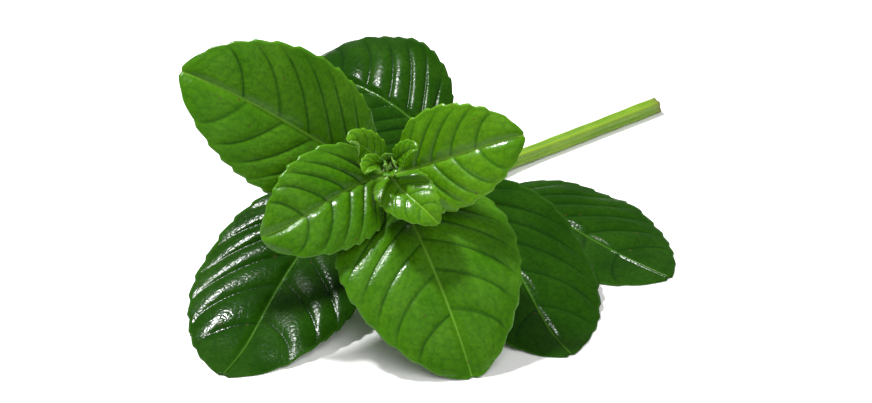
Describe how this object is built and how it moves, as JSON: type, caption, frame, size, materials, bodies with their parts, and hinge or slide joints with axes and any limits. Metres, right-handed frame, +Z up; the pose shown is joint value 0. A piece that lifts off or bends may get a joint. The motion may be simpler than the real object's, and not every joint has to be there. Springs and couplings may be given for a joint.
{
  "type": "mint sprig",
  "caption": "Freshly cut mint sprig lying on a surface, its leafy tip raised on its own drooping leaves and its bare cut stem trailing behind.",
  "frame": {"origin": "on the surface the sprig lies on, under the middle of its bounding box", "axes": "+Z up; -Y the side that the leafy head faces; the cut end of the stem trails back towards +Y and +X"},
  "size_m": [0.0955, 0.105, 0.0497],
  "materials": {
    "young_leaf": "satin",
    "leaf": "satin",
    "old_leaf": "satin",
    "stem": "satin"
  },
  "bodies": {
    "root": {"stem": "stem", "tip_bud": "young_leaf", "leaf_1_left": "young_leaf", "leaf_1_right": "young_leaf", "leaf_2_front": "young_leaf", "leaf_2_back": "young_leaf", "leaf_3_right": "young_leaf", "leaf_3_left": "leaf", "leaf_4_left": "leaf", "leaf_4_front": "leaf", "leaf_5_left": "old_leaf", "leaf_5_right": "old_leaf", "leaf_6_upper": "old_leaf", "leaf_6_lower": "old_leaf"}
  },
  "joints": []
}
